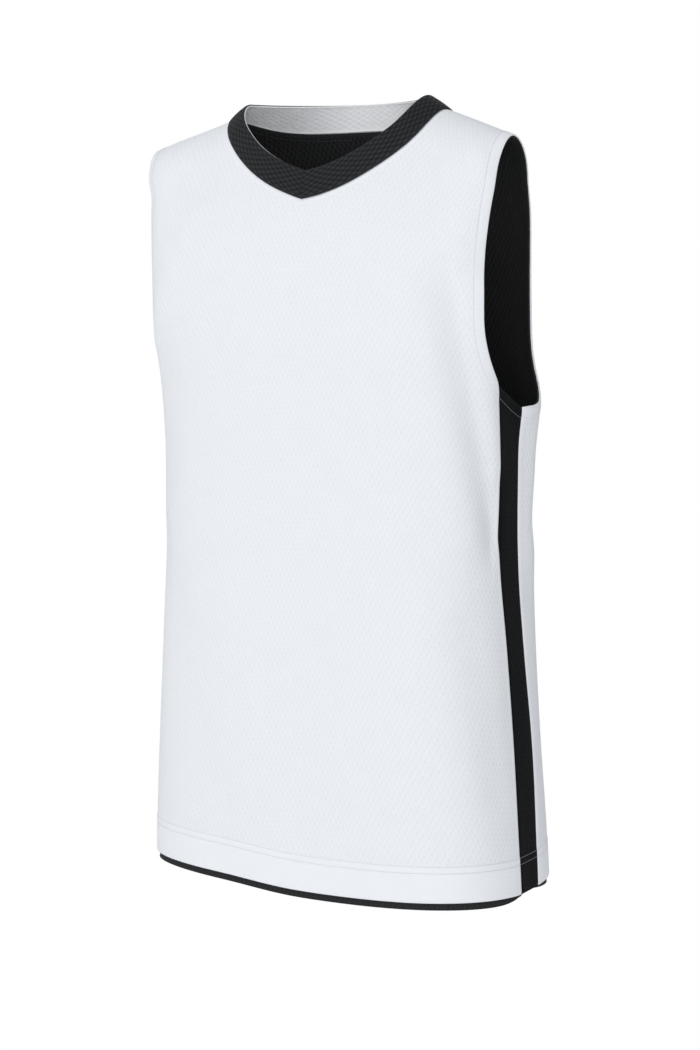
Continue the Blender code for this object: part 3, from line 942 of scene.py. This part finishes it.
def panel_stitches(name, back, inner, material):
    """A panel's hem rows, and its armholes' rows or on the reverse side its neck's."""
    rows = []
    for side in (1, -1):
        rows += [*hem_rows(side, back, inner), neck_row(side, back) if inner else armhole_row(side, back)]
    return add_stitches(name, rows, material)


# ---- Materials ----

class Nodes:
    """The node tree of a material or a world, with short ways to add maths."""

    def __init__(self, owner):
        owner.use_nodes = True
        self.owner = owner
        self.tree = owner.node_tree
        self.shader = self.tree.nodes.get("Principled BSDF")

    def put(self, socket, value):
        if isinstance(value, bpy.types.NodeSocket):
            self.tree.links.new(value, socket)
        else:
            socket.default_value = value

    def set(self, name, value):
        """Gives the shader's own socket a value or a link."""
        self.put(self.shader.inputs[name], value)

    def add(self, kind, inputs, **settings):
        node = self.tree.nodes.new(kind)
        for key, value in settings.items():
            setattr(node, key, value)
        for key, value in inputs.items():
            self.put(node.inputs[key], value)
        return node.outputs

    def math(self, operation, a, b=0.0):
        return self.add("ShaderNodeMath", {0: a, 1: b}, operation=operation)[0]

    def fold(self, operation, values):
        result = values[0]
        for value in values[1:]:
            result = self.math(operation, result, value)
        return result

    def total(self, *values):
        return self.fold("ADD", values)

    def product(self, *values):
        return self.fold("MULTIPLY", values)

    def most(self, *values):
        return self.fold("MAXIMUM", values)

    def less(self, a, b):
        return self.math("SUBTRACT", a, b)

    def from_least(self, share, least):
        """From least where the share is 0 to 1 where it is 1."""
        return self.total(self.product(share, 1 - least), least)

    def ramp(self, value, low, high):
        """A smooth step from 0 at the low value to 1 at the high one."""
        inputs = {0: value, 1: low, 2: high, 3: 0.0, 4: 1.0}
        return self.add("ShaderNodeMapRange", inputs, interpolation_type="SMOOTHSTEP")[0]

    def parts(self, vector):
        return list(self.add("ShaderNodeSeparateXYZ", {0: vector}))

    def uv(self, name):
        return self.parts(self.add("ShaderNodeUVMap", {}, uv_map=name)[0])[:2]

    def noise(self, x, y, detail=2.0, scale=1.0):
        """Smooth noise around 0."""
        place = self.add("ShaderNodeCombineXYZ", {0: x, 1: y})[0]
        inputs = {"Vector": place, "Scale": scale, "Detail": detail, "Roughness": 0.5}
        return self.less(self.add("ShaderNodeTexNoise", inputs)["Fac"], 0.5)

    def mix(self, share, a, b):
        a, b = ((*color, 1) if isinstance(color, tuple) else color for color in (a, b))
        return self.add("ShaderNodeMix", {"Factor": share, 6: a, 7: b}, data_type="RGBA")[2]

    def bump(self, height, distance):
        self.set("Normal", self.add("ShaderNodeBump", {"Strength": 1.0, "Distance": distance, "Height": height})[0])


def times(color, factor):
    return tuple(part * factor for part in color)


def knit_cloth(name):
    """The mesh knit: staggered holes between zigzag ridges, finer loops, and plainer cloth where it is doubled."""
    knit = KNITS[name]
    nodes = Nodes(bpy.data.materials.new(name))
    total, product, less, ramp, noise = nodes.total, nodes.product, nodes.less, nodes.ramp, nodes.noise
    u, v = nodes.uv("cloth")
    hem, armhole = nodes.uv("hem_edge")
    seam, neck = nodes.uv("seam_neck")
    u1 = total(u, product(noise(u, v, scale=55), WANDER * 2))
    v1 = total(v, product(noise(v, u, scale=42), WANDER * 4))
    turn_u = nodes.math("COSINE", product(u1, 2 * math.pi / REPEAT_ACROSS))
    turn_v = nodes.math("COSINE", product(v1, 2 * math.pi / REPEAT_DOWN))
    lattice = product(turn_u, turn_v)
    holes = ramp(lattice, *HOLE_FROM_TO)
    ridges = ramp(lattice, *RIDGE_FROM_TO)

    # The loops: columns of small v shapes.
    column = nodes.math("FRACT", nodes.math("DIVIDE", u1, LOOP_WIDTH))
    off_column = product(nodes.math("ABSOLUTE", less(column, 0.5)), 2.0)
    course = product(nodes.math("DIVIDE", v1, LOOP_HEIGHT), 2 * math.pi)
    loop = nodes.math("SINE", total(course, product(off_column, LOOP_SLANT)))
    loops = product(nodes.from_least(loop, 0.6), less(1.0, product(off_column, off_column)))

    if knit.along_band:
        doubled = nodes.most(ramp(seam, *DOUBLED_AT_BAND_SEAM), ramp(neck, *DOUBLED_AT_BAND_EDGE))
    else:
        doubled = nodes.most(
            ramp(hem, *DOUBLED_AT_HEM), ramp(armhole, *DOUBLED_AT_EDGE),
            ramp(seam, *DOUBLED_AT_SEAM), ramp(neck, *DOUBLED_AT_SEAM))
    single = less(1.0, doubled)
    shown_holes = product(holes, nodes.from_least(single, HOLES_WHERE_DOUBLED))

    base = nodes.mix(doubled, knit.color, times(knit.color, knit.doubled))
    # Painted highlight on the ridges, then darker holes: the black layer beneath showing through on the white
    # knits, painted shade in the holes on the black ones.
    base = nodes.mix(product(ridges, RIDGE_HIGHLIGHT_SHARE), base, times(knit.color, knit.ridge))
    base = nodes.mix(shown_holes, base, times(knit.color, knit.hole))
    # Random mottle in the cloth's tone, and painted shade between the loops: lighter where the loops rise.
    mottle = product(noise(u, v, detail=4.0, scale=38), MOTTLE)
    mottle_and_loop_shade = total(1.0, mottle, product(total(loops, -0.5), LOOP_SHADE))
    nodes.set("Base Color", nodes.add("ShaderNodeVectorMath", {0: base, "Scale": mottle_and_loop_shade}, operation="SCALE")[0])

    # Puckers run across the stitch rows.
    near_hem_rows = ramp(nodes.math("ABSOLUTE", less(hem, HEM_ROWS_MIDDLE)), *HEM_PUCKER_FADE)
    near_edge_row = ramp(nodes.math("ABSOLUTE", less(armhole, EDGE_STITCH_ROW)), *EDGE_PUCKER_FADE)
    near_seam = ramp(nodes.math("MINIMUM", seam, neck), *SEAM_PUCKER_FADE)
    upright = noise(product(u, 150), product(v, 45), detail=1.0)
    level = noise(product(u, 45), product(v, 120), detail=1.0)
    puckers = total(
        product(upright, near_hem_rows, HEM_PUCKER), product(level, near_edge_row, EDGE_PUCKER),
        product(level, near_seam, EDGE_PUCKER))
    nodes.bump(total(
        product(shown_holes, -knit.depth),
        product(ridges, nodes.from_least(single, RIDGES_WHERE_DOUBLED), 0.5 * knit.depth),
        product(loops, LOOP_BUMP), puckers, product(noise(u, v, detail=3.0, scale=22), SOFT_BUMP)), BUMP_UNIT)
    rough = total(KNIT_ROUGHNESS, product(shown_holes, HOLE_ROUGHNESS), product(loops, LOOP_ROUGHNESS))
    nodes.set("Roughness", rough)
    nodes.set("Specular IOR Level", knit.specular)
    nodes.set("Sheen Weight", knit.sheen)
    nodes.set("Sheen Roughness", KNIT_SHEEN_ROUGHNESS)
    return nodes.owner


def thread(name, color):
    """Twisted thread: fine slanted bands, with painted shade in the grooves of the twist."""
    nodes = Nodes(bpy.data.materials.new(name))
    slant = nodes.total(*nodes.parts(nodes.add("ShaderNodeTexCoord", {})["Object"]))
    twist = nodes.math("SINE", nodes.product(slant, 2 * math.pi / THREAD_TWIST))
    # Painted shade: the thread is darker where the twist's bump dips.
    nodes.set("Base Color", nodes.mix(nodes.from_least(twist, 0.5), times(color, THREAD_GROOVE_SHADE), color))
    nodes.bump(twist, THREAD_BUMP)
    nodes.set("Roughness", THREAD_ROUGHNESS)
    nodes.set("Sheen Weight", THREAD_SHEEN)
    return nodes.owner


white_mesh, insert_mesh, black_mesh, black_rib, white_band = (knit_cloth(name) for name in KNITS)
white_thread = thread("white_thread", (0.86, 0.87, 0.89))
grey_thread = thread("grey_thread", (0.30, 0.31, 0.33))
black_thread = thread("black_thread", (0.030, 0.031, 0.034))

# ---- The jersey ----

front = add_sheet("front_mesh", panel_patches(False, False), white_mesh)
back = add_sheet("back_mesh", panel_patches(True, False), white_mesh)
front_reverse = add_sheet("front_reverse_mesh", panel_patches(False, True), black_mesh)
back_reverse = add_sheet("back_reverse_mesh", panel_patches(True, True), black_mesh)
inserts = {side: add_sheet(name, insert_patches(side), insert_mesh)
           for name, side in (("left_insert_mesh", 1), ("right_insert_mesh", -1))}
band = add_sheet("neck_band", [band_patch(side, 0.0) for side in (1, -1)], black_rib)
facing = add_sheet("neck_band_facing", [band_patch(side, WALL + FACING_GAP) for side in (1, -1)], white_band)

front_stitches = panel_stitches("front_stitches", False, False, white_thread)
back_stitches = panel_stitches("back_stitches", True, False, white_thread)
front_reverse_stitches = panel_stitches("front_reverse_stitches", False, True, black_thread)
back_reverse_stitches = panel_stitches("back_reverse_stitches", True, True, black_thread)
for name, side in (("left_insert_stitches", 1), ("right_insert_stitches", -1)):
    span = (insert_angle(HEM_LEVEL, False), insert_angle(HEM_LEVEL, True))
    rows = [hem_row(side, *span, row, False) for row in HEM_STITCH_ROWS]
    add_stitches(name, [*rows, insert_top_row(side)], grey_thread)

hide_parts("front_outer")
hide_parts("back_outer")
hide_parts("front_inner")
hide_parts("back_inner")
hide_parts("side_insert_left")
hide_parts("side_insert_right")
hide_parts("collar_outer")
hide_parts("collar_inner")


# ---- Floor, light and camera ----

def add_floor():
    mesh = bmesh.new()
    bmesh.ops.create_circle(mesh, cap_ends=True, segments=96, radius=FLOOR_RADIUS)
    data = bpy.data.meshes.new("floor")
    mesh.to_mesh(data)
    mesh.free()
    floor = new_object("floor", data)
    floor.location = (0, 0, FLOOR_HEIGHT)
    nodes = Nodes(bpy.data.materials.new("pale_floor"))
    place = nodes.add("ShaderNodeTexCoord", {})["Object"]
    noise = nodes.add("ShaderNodeTexNoise", {"Vector": place, "Scale": FLOOR_NOISE_SCALE})["Fac"]
    nodes.set("Base Color", nodes.mix(noise, *FLOOR_COLORS))
    nodes.set("Roughness", FLOOR_ROUGHNESS)
    data.materials.append(nodes.owner)


def direction(azimuth, elevation):
    """The unit vector from the jersey towards an azimuth and elevation, where azimuth 0 is the front."""
    a, e = math.radians(azimuth), math.radians(elevation)
    return np.array([math.sin(a) * math.cos(e), -math.cos(a) * math.cos(e), math.sin(e)])


def facing_matrix(position, backward):
    """The matrix at a position whose -Z looks away from backward, upright."""
    right = np.cross((0, 0, 1), backward)
    right /= np.linalg.norm(right)
    columns = np.stack([right, np.cross(backward, right), backward, position], axis=1)
    return Matrix([*columns.tolist(), [0, 0, 0, 1]])


def add_light(light):
    data = bpy.data.lights.new(light.name, "AREA")
    data.size = light.size
    data.energy = light.power
    data.color = light.color
    away = direction(light.azimuth, light.elevation)
    new_object(light.name, data).matrix_world = facing_matrix(np.array(MIDDLE) + away * light.distance, away)


def add_world():
    """A white surround to look at, and a softer one, brighter in front, to light the cloth."""
    nodes = Nodes(bpy.data.worlds.new("studio"))
    backward = nodes.parts(nodes.add("ShaderNodeTexCoord", {})["Generated"])[1]
    strength = nodes.total(nodes.product(backward, -FILL_FROM_FRONT), FILL_STRENGTH)
    fill = nodes.add("ShaderNodeBackground", {"Color": (*FILL_COLOR, 1), "Strength": strength})[0]
    shown = nodes.add("ShaderNodeBackground", {"Color": (1, 1, 1, 1), "Strength": 1.0})[0]
    seen = nodes.add("ShaderNodeLightPath", {})["Is Camera Ray"]
    mixed = nodes.add("ShaderNodeMixShader", {0: seen, 1: fill, 2: shown})[0]
    nodes.put(nodes.tree.nodes["World Output"].inputs["Surface"], mixed)
    bpy.context.scene.world = nodes.owner


def add_camera():
    data = bpy.data.cameras.new("camera")
    data.sensor_fit = "VERTICAL"
    data.sensor_height = data.sensor_width = SENSOR
    data.lens = LENS
    camera = new_object("camera", data)
    backward = direction(CAMERA_AZIMUTH, CAMERA_ELEVATION)
    camera.matrix_world = facing_matrix(np.array(CAMERA_TARGET) + backward * CAMERA_DISTANCE, backward)
    bpy.context.scene.camera = camera


add_floor()
add_world()
for light in LIGHTS:
    add_light(light)
add_camera()
bpy.context.scene.view_settings.view_transform = "Standard"
